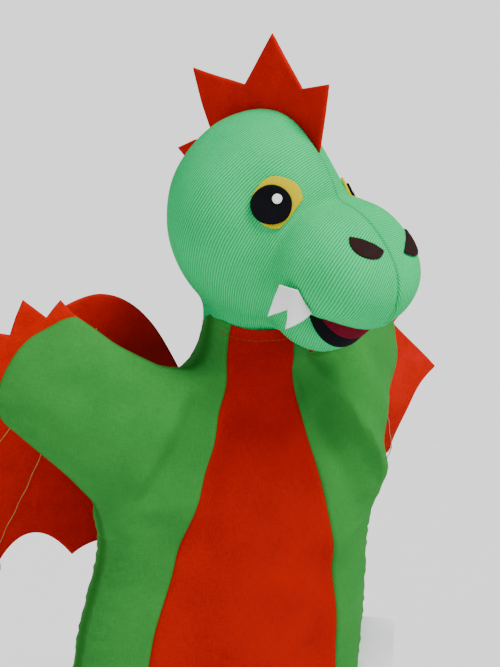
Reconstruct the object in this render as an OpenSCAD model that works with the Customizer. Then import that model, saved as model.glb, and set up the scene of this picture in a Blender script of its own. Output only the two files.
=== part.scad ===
// Hand puppet: a cloth dragon glove with a stuffed knit head, felt crest, wings and claws.
// Millimetres, +Z up, front -Y. The origin is the centre of the wrist opening at the hem.

/* [Glove] */
// Height of the neck above the hem.
neck_z = 220; // [180:1:260]
// Sideways lean of the neck towards the puppet's left.
lean_x = 14; // [0:1:20]
// Forward lean of the neck.
lean_y = 16; // [0:1:24]
// Half width of the glove at the hem.
hem_w = 69.5; // [55:0.5:80]
// Half depth of the opened glove at the hem.
hem_d = 32; // [26:1:40]
// Thickness of the woven cotton panels as modelled.
cloth = 1.2; // [0.8:0.1:2]
// Height of the turned hem band.
hem_h = 12; // [8:1:20]
// Height of the neck rim, where the collar flexes.
rim_z = 204; // [195:1:208]
// Gap between neighbouring panels along a seam.
seam = 0.5; // [0.3:0.1:1]

/* [Arms] */
// Distance of each arm fold from the neck axis.
arm_x = 54; // [50:1:60]
// Length of an arm beyond its fold.
arm_l = 71; // [60:1:80]
// Half thickness of an arm at its fold.
arm_t = 12; // [9:0.5:13]
// Angle at which the right arm lies swept back.
sweep_r = 12; // [5:1:20]
// Angle at which the left arm lies swept back.
sweep_l = 42; // [30:1:45]

/* [Wings] */
// Reach of a wing from its root seam.
wing_r = 135; // [110:1:140]
// Thickness of the wing felt.
wing_t = 2; // [1.5:0.1:3]
// Angle of the right wing behind the straight spread.
wing_sweep_r = 10; // [8:1:16]
// Angle of the left wing behind the straight spread.
wing_sweep_l = 17; // [12:1:26]

/* [Head] */
// Angle by which the head is turned to the puppet's left.
head_turn = 20; // [0:1:25]
// Radius of the back of the stuffed head.
skull_r = 44; // [38:0.5:48]
// Radius of the forehead.
brow_r = 42.5; // [38:0.5:46]
// Thickness of the knit skin as modelled.
knit = 1.4; // [1:0.1:2]
// Thickness of the felt pieces on the head.
felt = 1.2; // [0.8:0.1:2]
// Inner radius of the finger tube.
tube_r = 10.5; // [9:0.1:12]
// Length of the finger tube.
tube_l = 46; // [36:1:55]

/* [Hidden] */
$fn = 64;
neck = [lean_x, -lean_y, neck_z];
rows = [0, 20, 45, 70, 95, 115, 130, 140, 142, 155, 170, 185, 197, 201, rim_z];
widths = [[0, hem_w], [70, hem_w + 1], [110, hem_w - 0.5], [140, 66], [160, 62], [185, 59], [197, 56],
    [201, 44], [rim_z, 29.3]];
depths = [[0, hem_d], [70, hem_d - 0.5], [110, 30], [140, 28], [165, 28], [185, 29.5], [197, 29.6],
    [rim_z, 29.3]];
belly_right = [[0, -47], [67, -47], [110, -44], [150, -38], [187, -46], [rim_z, -52]];
belly_left = [[0, 45], [67, 43], [110, 37], [150, 28.5], [187, 21], [rim_z, 24]];
arm_top = [[0, 212.5], [4, 214.5], [17, 222], [26, 229.5], [35, 235.5], [40, 234.6], [48, 231], [56, 227],
    [62, 221.5], [66.5, 215], [arm_l, 207]];
arm_low = [[0, 144], [14, 144.5], [25.5, 147.5], [32.4, 153.5], [40, 162], [51.5, 171.5], [62.5, 182],
    [68.5, 187.5], [arm_l, 192]];
arm_thick = [[0, arm_t], [15, arm_t], [30, arm_t - 0.5], [50, 9], [63, 5.5], [arm_l, 2.8]];
arm_rows = [0.6, 4, 8, 14, 20, 26, 32.4, 35, 40, 48, 52, 56, 62, 66.5, arm_l];
neck_rad = 22.9;
pivot_rad = 26.5;
skin_c = [[0, -5.5, 57], [0, -12.4, 64.5], [0, -8, 50]];
bridge_c = [0, -38, 42];
jaw_c = [0, -41.9, 23.3];

// Centre, half width and half depth of the glove body at a height.
function body_x(z) = lean_x * z / neck_z;
function body_y(z) = -lean_y * z / neck_z;
function body_w(z) = lookup(z, widths);
function body_d(z) = lookup(z, depths);

// Point of the glove body at angle t from the front, moved outward by off.
function body_point(t, z, off) = [body_x(z) + (body_w(z) + off) * sin(t),
    body_y(z) - (body_d(z) + off) * cos(t), z];

// Angle where the body surface reaches a plane x.
function angle_at(x, z) = asin(max(-1, min(1, (x - body_x(z)) / body_w(z))));

// A gap of the seam width as an angle at a height.
function seam_angle(z) = seam * 30 / body_w(z);

// Angle at which the front and back panels meet: the side seam, or the edge of the arm opening.
function front_right_edge(z) = z < 141 ? -90 : angle_at(lean_x - arm_x + 0.6, z);
function front_left_edge(z) = z < 141 ? 90 : angle_at(lean_x + arm_x - 2.6, z);
function back_right_edge(z) = z < 141 ? 270 : 180 - angle_at(lean_x - arm_x + 7, z);
function back_left_edge(z) = z < 141 ? 90 : 180 - angle_at(lean_x + arm_x - 15, z);

// Closed solid between an outer and an inner grid of points, each a list of rows.
module shell(outer, inner) {
    m = len(outer);
    n = len(outer[0]);
    points = [for (grid = [outer, inner]) for (row = grid) for (p = row) p];
    k = m * n;
    faces = concat(
        [for (i = [0:m - 2]) for (j = [0:n - 2]) [i * n + j, i * n + j + 1, (i + 1) * n + j + 1]],
        [for (i = [0:m - 2]) for (j = [0:n - 2]) [i * n + j, (i + 1) * n + j + 1, (i + 1) * n + j]],
        [for (i = [0:m - 2]) for (j = [0:n - 2]) [k + i * n + j, k + (i + 1) * n + j + 1, k + i * n + j + 1]],
        [for (i = [0:m - 2]) for (j = [0:n - 2]) [k + i * n + j, k + (i + 1) * n + j, k + (i + 1) * n + j + 1]],
        [for (j = [0:n - 2]) [j, k + j + 1, j + 1]],
        [for (j = [0:n - 2]) [j, k + j, k + j + 1]],
        [for (j = [0:n - 2]) [(m - 1) * n + j, (m - 1) * n + j + 1, k + (m - 1) * n + j + 1]],
        [for (j = [0:n - 2]) [(m - 1) * n + j, k + (m - 1) * n + j + 1, k + (m - 1) * n + j]],
        [for (i = [0:m - 2]) [i * n, (i + 1) * n, k + (i + 1) * n]],
        [for (i = [0:m - 2]) [i * n, k + (i + 1) * n, k + i * n]],
        [for (i = [0:m - 2]) [i * n + n - 1, k + (i + 1) * n + n - 1, (i + 1) * n + n - 1]],
        [for (i = [0:m - 2]) [i * n + n - 1, k + i * n + n - 1, k + (i + 1) * n + n - 1]]);
    polyhedron(points = points, faces = faces, convexity = 6);
}

// Panel of the glove body between two angles given as functions of height.
module body_panel(from, to, cols) {
    outer = [for (z = rows) [for (j = [0:cols]) body_point(from(z) + (to(z) - from(z)) * j / cols, z, 0)]];
    inner = [for (z = rows) [for (j = [0:cols]) body_point(from(z) + (to(z) - from(z)) * j / cols, z, -cloth)]];
    shell(outer, inner);
}

module belly_panel() {
    color([0.78, 0.2, 0.04])
    body_panel(function (z) lookup(z, belly_right) + seam_angle(z),
        function (z) lookup(z, belly_left) - seam_angle(z), 10);
}

module front_panel_right() {
    color([0.3, 0.66, 0.28])
    body_panel(function (z) front_right_edge(z) + seam_angle(z),
        function (z) lookup(z, belly_right) - seam_angle(z), 6);
}

module front_panel_left() {
    color([0.3, 0.66, 0.28])
    body_panel(function (z) lookup(z, belly_left) + seam_angle(z),
        function (z) front_left_edge(z) - seam_angle(z), 6);
}

module back_panel_right() {
    color([0.3, 0.66, 0.28])
    body_panel(function (z) 180 + seam_angle(z), function (z) back_right_edge(z) - seam_angle(z), 8);
}

module back_panel_left() {
    color([0.3, 0.66, 0.28])
    body_panel(function (z) back_left_edge(z) + seam_angle(z), function (z) 180 - seam_angle(z), 8);
}

// The allowance turned up inside the hem.
module hem_band() {
    color([0.26, 0.58, 0.25])
    difference() {
        band_solid(-cloth - 0.6, 0, hem_h);
        band_solid(-cloth * 2 - 0.6, -1, hem_h + 1);
    }
}

// Upright slice of the body shape near the hem.
module band_solid(off, z0, z1) {
    outline = [for (t = [0:6:354]) [(hem_w + off) * sin(t), -(hem_d + off) * cos(t)]];
    multmatrix([[1, 0, lean_x / neck_z, 0], [0, 1, -lean_y / neck_z, 0], [0, 0, 1, 0]])
    translate([0, 0, z0]) linear_extrude(z1 - z0) polygon(outline);
}

module care_label() {
    color([0.93, 0.93, 0.92])
    translate([body_x(62) + hem_w + 1.6, body_y(62) - 0.4, 46]) cube([19, 0.8, 33]);
}

// Collar: a ball-shaped band under the rim and a straight neck above it.
module collar_profile() {
    difference() {
        union() {
            intersection() {
                circle(r = pivot_rad);
                polygon([[0, 0], [60, 34.6], [60, -30]]);
            }
            translate([0, 8]) square([neck_rad, neck_z - rim_z - 9]);
        }
        circle(r = pivot_rad - cloth);
        translate([0, -20]) square([neck_rad - cloth, 60]);
    }
}

module collar_arc(from, to) {
    translate([neck[0], neck[1], rim_z]) rotate([0, 0, from - 90])
    rotate_extrude(angle = to - from) collar_profile();
}

module collar_front() {
    color([0.78, 0.2, 0.04]) collar_arc(-52, 24);
}

module collar_back() {
    color([0.3, 0.66, 0.28]) collar_arc(25, 307);
}

// Ring of thread that closes the neck.
module neck_stitching() {
    color([0.36, 0.14, 0.05])
    translate([neck[0], neck[1], neck_z - 2]) rotate_extrude() translate([neck_rad + 0.6, 0]) circle(r = 0.4);
}

// Everything on the head is drawn facing -Y about the neck and then turned.
module on_head() {
    translate(neck) rotate([0, 0, head_turn]) children();
}

module bean(half, y, z, r) {
    translate([0, y, z]) {
        translate([-half, 0, 0]) sphere(r = r);
        translate([half, 0, 0]) sphere(r = r);
        rotate([0, 90, 0]) cylinder(h = 2 * half, r = r, center = true);
    }
}

// Union of the stuffed volumes, all moved inward by off.
module head_volume(off) {
    translate(skin_c[0]) sphere(r = skull_r - off);
    translate(skin_c[1]) sphere(r = brow_r - off);
    translate(skin_c[2]) sphere(r = skull_r - 2 - off);
    translate(bridge_c) sphere(r = 30 - off);
    bean(8, -54, 42.6, 26 - off);
    bean(9, -66, 37, 21 - off);
    translate([0, -69, 31.5]) sphere(r = 18.5 - off);
    translate(jaw_c) sphere(r = 24.2 - off);
    translate([0, 0, 2]) cylinder(h = 18, r = 19 - off);
}

module head_stuffing() {
    color([0.92, 0.92, 0.9])
    on_head() difference() {
        head_volume(knit + 0.3);
        translate([0, 0, -1]) cylinder(h = tube_l - 14 + 1.3, r = tube_r + 1.8);
    }
}

module head_skin(side) {
    color([0.34, 0.74, 0.48])
    on_head() intersection() {
        difference() {
            head_volume(0);
            head_volume(knit);
            translate([0, 0, 1]) cylinder(h = 4, r = 19 - knit);
        }
        translate([side > 0 ? 0.15 : -80.15, -100, -10]) cube([80, 180, 130]);
    }
}

module head_skin_right() {
    head_skin(-1);
}

module head_skin_left() {
    head_skin(1);
}

module finger_tube() {
    color([0.68, 0.55, 0.38])
    translate([neck[0], neck[1], neck_z - 14]) difference() {
        cylinder(h = tube_l, r = tube_r + 1.5);
        translate([0, 0, -1]) cylinder(h = tube_l + 2, r = tube_r);
    }
}

// Felt cut to a circle and laid on a ball of radius r about c, facing az to the side and el upward.
module felt_cap(c, r, t, az, el, rad) {
    translate(c) intersection() {
        difference() {
            sphere(r = r + t);
            sphere(r = r);
        }
        rotate([90 - el, 0, az]) cylinder(h = r + t + 10, r = rad);
    }
}

// Head pieces drawn for the right side (-X) and mirrored for the left.
module pair_side(side) {
    on_head() mirror([side > 0 ? 1 : 0, 0, 0]) children();
}

module eye_yellow(side) {
    color([0.9, 0.76, 0.08])
    pair_side(side) difference() {
        felt_cap(skin_c[1], brow_r + 0.3, felt, -45.5, 9.5, 12);
        bean(8, -54, 42.6, 26.4);
        translate(bridge_c) sphere(r = 30.4);
    }
}

module eye_yellow_right() {
    eye_yellow(-1);
}

module eye_yellow_left() {
    eye_yellow(1);
}

module eye_black(side) {
    color([0.05, 0.05, 0.06])
    pair_side(side) difference() {
        felt_cap(skin_c[1], brow_r + felt + 0.6, felt, -49, 8, 9.5);
        bean(8, -54, 42.6, 26.4);
        translate(bridge_c) sphere(r = 30.4);
    }
}

module eye_black_right() {
    eye_black(-1);
}

module eye_black_left() {
    eye_black(1);
}

module eye_glint(side) {
    color([0.95, 0.95, 0.93])
    pair_side(side) felt_cap(skin_c[1], brow_r + 2 * felt + 0.9, felt, -45.8, 11.5, 2.3);
}

module eye_glint_right() {
    eye_glint(-1);
}

module eye_glint_left() {
    eye_glint(1);
}

// Half-moon nostrils with the straight edge facing up and inward.
module nostril(side) {
    color([0.2, 0.13, 0.12])
    pair_side(side) intersection() {
        difference() {
            head_volume(-felt - 0.3);
            head_volume(-0.3);
        }
        translate([-8, -54, 42.6]) rotate([65, 0, -7]) rotate([0, 0, -36]) intersection() {
            cylinder(h = 50, r = 8.4);
            translate([-10, -20, 0]) cube([20, 20, 50]);
        }
    }
}

module nostril_right() {
    nostril(-1);
}

module nostril_left() {
    nostril(1);
}

// The muzzle and bridge grown by off, to cut away what lies under the upper lip.
module muzzle_volume(off) {
    translate(bridge_c) sphere(r = 30 + off);
    bean(8, -54, 42.6, 26 + off);
    bean(9, -66, 37, 21 + off);
    translate([0, -69, 31.5]) sphere(r = 18.5 + off);
    translate(skin_c[2]) sphere(r = skull_r - 2 + off);
}

module mouth_lining() {
    color([0.05, 0.05, 0.06])
    on_head() difference() {
        felt_cap(jaw_c, 24.5, felt, 0, 8, 22);
        muzzle_volume(0.3);
    }
}

module tongue() {
    color([0.45, 0.06, 0.12])
    on_head() difference() {
        felt_cap(jaw_c, 26, felt, 0, 18, 21);
        muzzle_volume(0.3);
    }
}

// Two fangs cut in one felt strip that hangs from the edge of the upper lip.
module teeth(side) {
    color([0.93, 0.93, 0.91])
    pair_side(side) difference() {
        translate([-34.5, -50.5, 31.5]) rotate([90, 0, -55]) linear_extrude(felt)
        polygon([[-1, 4], [-7, -9], [1.5, -6.5], [0.8, -14], [9, -11], [12.5, -8], [6, -1]]);
        head_volume(-0.2);
    }
}

module teeth_right() {
    teeth(-1);
}

module teeth_left() {
    teeth(1);
}

// Upright felt in the midline seam, cut in the (y, z) plane and clear of the skin.
module crest_sheet(points) {
    on_head() difference() {
        translate([1.1, 0, 0]) rotate([90, 0, -90]) linear_extrude(2.2) polygon([for (p = points) [-p[0], p[1]]]);
        translate(skin_c[0]) sphere(r = skull_r + 0.3);
        translate(skin_c[1]) sphere(r = brow_r + 0.3);
    }
}

module crest() {
    color([0.85, 0.24, 0.05])
    crest_sheet([[-40.5, 93], [-47, 122], [-30, 118], [-12.4, 141.5], [5.6, 116], [37, 120.5], [21, 94],
        [8, 96], [-12, 101], [-30, 97]]);
}

module crest_back_spike() {
    color([0.85, 0.24, 0.05])
    crest_sheet([[25, 93], [47, 82], [37, 74], [33, 80]]);
}

// An arm drawn along +X from its fold line, then swept back and placed.
module place_arm(side) {
    sweep = side > 0 ? sweep_l : sweep_r;
    translate([lean_x + side * arm_x, -lean_y - 8.8, 0]) mirror([side > 0 ? 0 : 1, 0, 0])
    rotate([0, 0, sweep]) translate([0, arm_t + 0.8, 0]) children();
}

function arm_point(s, a, face, off) =
    let (top = lookup(s, arm_top), low = lookup(s, arm_low), half = (top - low) / 2 - 0.4)
    [s, face * (lookup(s, arm_thick) * cos(a) - off * cos(a) + 0.25), (top + low) / 2 + (half - off * 0.6) * sin(a)];

// Front (face -1) or back (face 1) panel of an arm.
module arm_panel(face) {
    cols = 12;
    outer = [for (s = arm_rows) [for (j = [0:cols]) arm_point(s, (-90 + 180 * j / cols) * -face, face, 0)]];
    inner = [for (s = arm_rows) [for (j = [0:cols]) arm_point(s, (-90 + 180 * j / cols) * -face, face, cloth)]];
    shell(outer, inner);
}

module arm_front_right() {
    color([0.3, 0.66, 0.28]) place_arm(-1) arm_panel(-1);
}

module arm_back_right() {
    color([0.3, 0.66, 0.28]) place_arm(-1) arm_panel(1);
}

module arm_front_left() {
    color([0.3, 0.66, 0.28]) place_arm(1) arm_panel(-1);
}

module arm_back_left() {
    color([0.3, 0.66, 0.28]) place_arm(1) arm_panel(1);
}

// Felt claws that stand out of the seam along the end of the paw.
module claws(side) {
    color([0.8, 0.22, 0.05])
    place_arm(side) translate([0, 1, 0]) rotate([90, 0, 0]) linear_extrude(2)
    polygon([[35.5, 236.1], [41.5, 243], [48.4, 236.4], [59.7, 244.6], [65.9, 229.5], [78, 230.5], [75, 217.5],
        [84, 208.5], [71.8, 203.5], [71.6, 207.6], [67, 215.3], [62.2, 222], [56, 227.6], [48, 231.6], [40, 235.2]]);
}

module claws_right() {
    claws(-1);
}

module claws_left() {
    claws(1);
}

// Scallop between two points, bowed towards a control point.
function bow(a, c, b, n) = [for (i = [1:n]) let (t = i / n)
    (1 - t) * (1 - t) * a + 2 * t * (1 - t) * c + t * t * b];

// Outline of a wing as reach from the root and height.
wing_outline = concat([[0, 190]],
    bow([0, 190], [20, 236], [46, 238], 8),
    bow([46, 238], [66, 238], [100, 204], 8),
    [[wing_r, 176]],
    bow([wing_r, 176], [108, 166], [118, 134], 7),
    bow([118, 134], [97, 132], [84, 108], 6),
    bow([84, 108], [70, 138], [47, 112], 6),
    bow([47, 112], [30, 128], [0, 108], 5));

// A wing drawn along +X, swept back and laid along the leaning back seam.
module place_wing(side) {
    sweep = side > 0 ? wing_sweep_l : wing_sweep_r;
    multmatrix([[1, 0, lean_x / neck_z, 0], [0, 1, -lean_y / neck_z, 0], [0, 0, 1, 0]])
    translate([side * 15, 33.5, 0]) mirror([side > 0 ? 0 : 1, 0, 0]) rotate([0, 0, sweep]) children();
}

module wing(side) {
    color([0.66, 0.08, 0.05])
    place_wing(side) translate([0, wing_t / 2, 0]) rotate([90, 0, 0]) linear_extrude(wing_t) polygon(wing_outline);
}

module wing_right() {
    wing(-1);
}

module wing_left() {
    wing(1);
}

// Lines of thread from the shoulder of the wing to its points.
module wing_stitching(side) {
    color([0.5, 0.4, 0.25])
    place_wing(side) for (rib = [[118, 138], [86, 116]])
        translate([0, -wing_t / 2 - 0.3, 0]) rotate([90, 0, 0]) linear_extrude(0.6)
        polygon([[46, 222], [47.2, 222], [rib[0], rib[1]], [rib[0] - 1.4, rib[1]]]);
}

module wing_stitching_right() {
    wing_stitching(-1);
}

module wing_stitching_left() {
    wing_stitching(1);
}

belly_panel();
front_panel_right();
front_panel_left();
back_panel_right();
back_panel_left();
hem_band();
care_label();
collar_front();
collar_back();
neck_stitching();
finger_tube();
head_stuffing();
head_skin_right();
head_skin_left();
mouth_lining();
tongue();
teeth_right();
teeth_left();
eye_yellow_right();
eye_yellow_left();
eye_black_right();
eye_black_left();
eye_glint_right();
eye_glint_left();
nostril_right();
nostril_left();
crest();
crest_back_spike();
arm_front_right();
arm_back_right();
claws_right();
arm_front_left();
arm_back_left();
claws_left();
wing_right();
wing_stitching_right();
wing_left();
wing_stitching_left();
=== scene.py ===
import math

import bmesh
import bpy
import numpy as np
import openvdb
from mathutils import Matrix, Vector
from mathutils.geometry import delaunay_2d_cdt


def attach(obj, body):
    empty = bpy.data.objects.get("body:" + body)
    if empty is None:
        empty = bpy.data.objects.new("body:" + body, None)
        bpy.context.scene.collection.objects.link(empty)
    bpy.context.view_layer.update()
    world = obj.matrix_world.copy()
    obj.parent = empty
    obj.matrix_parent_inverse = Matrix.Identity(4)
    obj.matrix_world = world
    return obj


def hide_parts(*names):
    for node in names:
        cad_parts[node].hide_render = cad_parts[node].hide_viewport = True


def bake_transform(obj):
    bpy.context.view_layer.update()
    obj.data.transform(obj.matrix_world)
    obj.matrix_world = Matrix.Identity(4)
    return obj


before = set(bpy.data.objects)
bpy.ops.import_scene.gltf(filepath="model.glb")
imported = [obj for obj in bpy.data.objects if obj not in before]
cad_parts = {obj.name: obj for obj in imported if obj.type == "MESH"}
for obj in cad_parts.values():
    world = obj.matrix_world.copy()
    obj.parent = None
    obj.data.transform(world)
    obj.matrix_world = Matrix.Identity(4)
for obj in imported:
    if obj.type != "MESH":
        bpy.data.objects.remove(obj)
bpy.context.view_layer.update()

MM = 0.001
LEAN = np.array([14.0, -16.0])
NECK_Z = 220.0
NECK = np.array([LEAN[0], LEAN[1], NECK_Z])
HEAD_TURN = math.radians(20)
ARM_X = 54.0
ARM_HINGE_Y = -24.8
ARM_DEPTH = 12.8
SWEEP = {-1: math.radians(12), 1: math.radians(42)}
WING_SWEEP = {-1: math.radians(10), 1: math.radians(17)}
SIDE_NAME = {-1: "right", 1: "left"}


def smooth(x, a=0.0, b=1.0):
    t = np.clip((np.asarray(x, float) - a) / (b - a), 0, 1)
    return t * t * (3 - 2 * t)


def unit(v):
    v = np.asarray(v, float)
    return v / np.maximum(np.linalg.norm(v, axis=-1, keepdims=True), 1e-12)


def spline(points, step):
    """Catmull-Rom curve through points, resampled about every step."""
    p = np.array(points, float)
    p = np.vstack([2 * p[0] - p[1], p, 2 * p[-1] - p[-2]])
    out = []
    for i in range(1, len(p) - 2):
        for t in np.linspace(0, 1, 12, endpoint=False):
            a, b, c, d = p[i - 1 : i + 3]
            out.append(
                0.5 * (2 * b + (c - a) * t + (2 * a - 5 * b + 4 * c - d) * t**2 + (3 * b - a - 3 * c + d) * t**3)
            )
    out.append(p[-2])
    return resample(np.array(out), step)


def resample(line, step):
    line = np.array(line, float)
    run = np.concatenate([[0], np.cumsum(np.linalg.norm(np.diff(line, axis=0), axis=1))])
    n = max(2, int(round(run[-1] / step)) + 1)
    at = np.linspace(0, run[-1], n)
    return np.stack([np.interp(at, run, line[:, k]) for k in range(line.shape[1])], axis=1)


def inside(points, loop):
    x, y = points[:, 0], points[:, 1]
    hit = np.zeros(len(points), bool)
    a, b = loop, np.roll(loop, -1, axis=0)
    for (x0, y0), (x1, y1) in zip(a, b):
        if y0 == y1:
            continue
        cross = (y0 > y) != (y1 > y)
        hit ^= cross & (x < (x1 - x0) * (y - y0) / (y1 - y0) + x0)
    return hit


def distance(points, line, closed=False):
    """Distance from each point to a polyline."""
    points = np.asarray(points, float)
    a = np.asarray(line, float)
    b = np.roll(a, -1, axis=0)
    if not closed:
        a, b = a[:-1], b[:-1]
    best = np.full(len(points), 1e9)
    for s in range(0, len(a), 40):
        p0, d = a[s : s + 40], b[s : s + 40] - a[s : s + 40]
        t = ((points[:, None] - p0) * d).sum(2) / np.maximum((d * d).sum(1), 1e-12)
        q = p0 + np.clip(t, 0, 1)[..., None] * d
        best = np.minimum(best, np.linalg.norm(points[:, None] - q, axis=2).min(1))
    return best


def inward_rows(loop, depths):
    """Points just inside a closed loop, at each of the depths."""
    area = 0.5 * np.sum(loop[:, 0] * np.roll(loop[:, 1], -1) - loop[:, 1] * np.roll(loop[:, 0], -1))
    rows = []
    tangent = unit(np.roll(loop, -1, axis=0) - np.roll(loop, 1, axis=0))
    normal = np.stack([-tangent[:, 1], tangent[:, 0]], 1) * (1 if area > 0 else -1)
    for depth in depths:
        row = loop + normal * depth
        ok = inside(row, loop) & (distance(row, loop, True) > depth * 0.86)
        rows.append(row[ok])
    return rows


def fill(loop, spacing, depths=(), extra=None):
    """Triangles over a closed outline: vertices (n, 2) and faces."""
    rows = inward_rows(loop, depths)
    lo, hi = loop.min(0), loop.max(0)
    ys = np.arange(lo[1], hi[1], spacing * 0.866)
    grid = np.array(
        [(x + (k % 2) * spacing / 2, y) for k, y in enumerate(ys) for x in np.arange(lo[0], hi[0], spacing)]
    ).reshape(-1, 2)
    keep = max(depths, default=0) + spacing * 0.6
    grid = grid[inside(grid, loop)]
    if len(grid):
        grid = grid[distance(grid, loop, True) > keep]
    parts = [loop, *rows, grid]
    if extra is not None:
        parts.append(extra[inside(extra, loop)])
    pts = np.vstack(parts)
    n = len(loop)
    edges = [(i, (i + 1) % n) for i in range(n)]
    v, _, f, _, _, _ = delaunay_2d_cdt([Vector(p) for p in pts], edges, [], 1, 1e-5)
    v = np.array([tuple(c) for c in v])
    f = [tuple(t) for t in f if len(t) == 3]
    return v, f


def new_object(name, verts, faces, uv=None, attributes=None, normals=None, smooth_shade=True):
    mesh = bpy.data.meshes.new(name)
    mesh.from_pydata([tuple(p) for p in np.asarray(verts) * MM], [], [tuple(int(i) for i in f) for f in faces])
    mesh.validate()
    if uv is not None:
        layer = mesh.uv_layers.new(name="UVMap")
        idx = np.empty(len(mesh.loops), int)
        mesh.loops.foreach_get("vertex_index", idx)
        layer.data.foreach_set("uv", (np.asarray(uv)[idx] * MM).astype(np.float32).ravel())
    for key, value in (attributes or {}).items():
        attr = mesh.attributes.new(key, "FLOAT", "POINT")
        attr.data.foreach_set("value", np.asarray(value, np.float32))
    mesh.polygons.foreach_set("use_smooth", [smooth_shade] * len(mesh.polygons))
    mesh.update()
    if normals is not None:
        mesh.normals_split_custom_set_from_vertices([tuple(n) for n in normals])
    ob = bpy.data.objects.new(name, mesh)
    bpy.context.scene.collection.objects.link(ob)
    return ob


def vertex_normals(verts, faces):
    f = np.array(faces)
    fn = np.cross(verts[f[:, 1]] - verts[f[:, 0]], verts[f[:, 2]] - verts[f[:, 0]])
    out = np.zeros_like(verts)
    for k in range(3):
        np.add.at(out, f[:, k], fn)
    return unit(out)


def boundary_loops(faces):
    count = {}
    for f in faces:
        for k in range(len(f)):
            a, b = f[k], f[(k + 1) % len(f)]
            count[(a, b)] = 1
    return [(a, b) for a, b in count if (b, a) not in count]


def closed_sheet(name, outer, faces, inner, uv, attributes=None, normals=None):
    """A sheet with an outer and an inner face and a rim between them."""
    n = len(outer)
    verts = np.vstack([outer, inner])
    all_faces = list(faces) + [tuple(i + n for i in reversed(f)) for f in faces]
    for a, b in boundary_loops(faces):
        all_faces.append((b, a, a + n, b + n))
    attrs = {k: np.concatenate([v, v]) for k, v in (attributes or {}).items()}
    both = None if normals is None else np.vstack([normals, -np.asarray(normals)])
    return new_object(name, verts, all_faces, np.vstack([uv, uv]), attrs, both)


# ---------------------------------------------------------------- materials


class Nodes:
    """A small helper that builds one node material."""

    def __init__(self, name, color, roughness=0.9, sheen=0.0, sheen_rough=0.5, sheen_tint=(1, 1, 1, 1)):
        self.mat = bpy.data.materials.new(name)
        self.mat.use_nodes = True
        self.nt = self.mat.node_tree
        self.shader = self.nt.nodes["Principled BSDF"]
        self.shader.inputs["Base Color"].default_value = (*color, 1)
        self.shader.inputs["Roughness"].default_value = roughness
        self.shader.inputs["Specular IOR Level"].default_value = 0.05
        self.shader.inputs["Sheen Weight"].default_value = sheen
        self.shader.inputs["Sheen Roughness"].default_value = sheen_rough
        self.shader.inputs["Sheen Tint"].default_value = sheen_tint
        self.height = None

    def node(self, kind, **values):
        n = self.nt.nodes.new(kind)
        for key, value in values.items():
            if hasattr(n, key) and key not in n.inputs:
                setattr(n, key, value)
            else:
                n.inputs[key].default_value = value
        return n

    def link(self, a, b):
        self.nt.links.new(a, b)

    def math(self, op, a, b=None, c=None, clamp=False):
        n = self.nt.nodes.new("ShaderNodeMath")
        n.operation = op
        n.use_clamp = clamp
        for i, v in enumerate((a, b, c)):
            if v is None:
                continue
            if isinstance(v, (int, float)):
                n.inputs[i].default_value = v
            else:
                self.link(v, n.inputs[i])
        return n.outputs[0]

    def coords(self, kind="Object", scale=(1, 1, 1), rotation=(0, 0, 0)):
        tc = self.nt.nodes.new("ShaderNodeTexCoord")
        mp = self.nt.nodes.new("ShaderNodeMapping")
        mp.inputs["Scale"].default_value = scale
        mp.inputs["Rotation"].default_value = rotation
        self.link(tc.outputs[kind], mp.inputs["Vector"])
        return mp.outputs["Vector"]

    def noise(self, vector, scale, detail=3.0, rough=0.55, out="Fac", distortion=0.0):
        n = self.nt.nodes.new("ShaderNodeTexNoise")
        n.inputs["Scale"].default_value = scale
        n.inputs["Detail"].default_value = detail
        n.inputs["Roughness"].default_value = rough
        n.inputs["Distortion"].default_value = distortion
        self.link(vector, n.inputs["Vector"])
        return n.outputs[out]

    def attribute(self, name):
        n = self.nt.nodes.new("ShaderNodeAttribute")
        n.attribute_name = name
        return n.outputs["Fac"]

    def ramp(self, value, stops):
        n = self.nt.nodes.new("ShaderNodeValToRGB")
        e = n.color_ramp.elements
        while len(e) < len(stops):
            e.new(0.5)
        for item, (pos, col) in zip(e, stops):
            item.position = pos
            item.color = (*col, 1) if len(col) == 3 else col
        self.link(value, n.inputs["Fac"])
        return n.outputs["Color"]

    def mix(self, factor, a, b, blend="MIX"):
        n = self.nt.nodes.new("ShaderNodeMix")
        n.data_type = "RGBA"
        n.blend_type = blend
        for sock, v in ((n.inputs[0], factor), (n.inputs[6], a), (n.inputs[7], b)):
            if isinstance(v, (int, float)):
                sock.default_value = v
            elif isinstance(v, tuple):
                sock.default_value = (*v, 1) if len(v) == 3 else v
            else:
                self.link(v, sock)
        return n.outputs[2]

    def bump(self, height, distance_m, strength=1.0):
        n = self.nt.nodes.new("ShaderNodeBump")
        n.inputs["Distance"].default_value = distance_m
        n.inputs["Strength"].default_value = strength
        self.link(height, n.inputs["Height"])
        if self.height is not None:
            self.link(self.height, n.inputs["Normal"])
        self.height = n.outputs["Normal"]
        self.link(self.height, self.shader.inputs["Normal"])

    def color(self, socket):
        self.link(socket, self.shader.inputs["Base Color"])


def tint(color, k):
    return tuple(min(1.0, c * k) for c in color)


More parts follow.
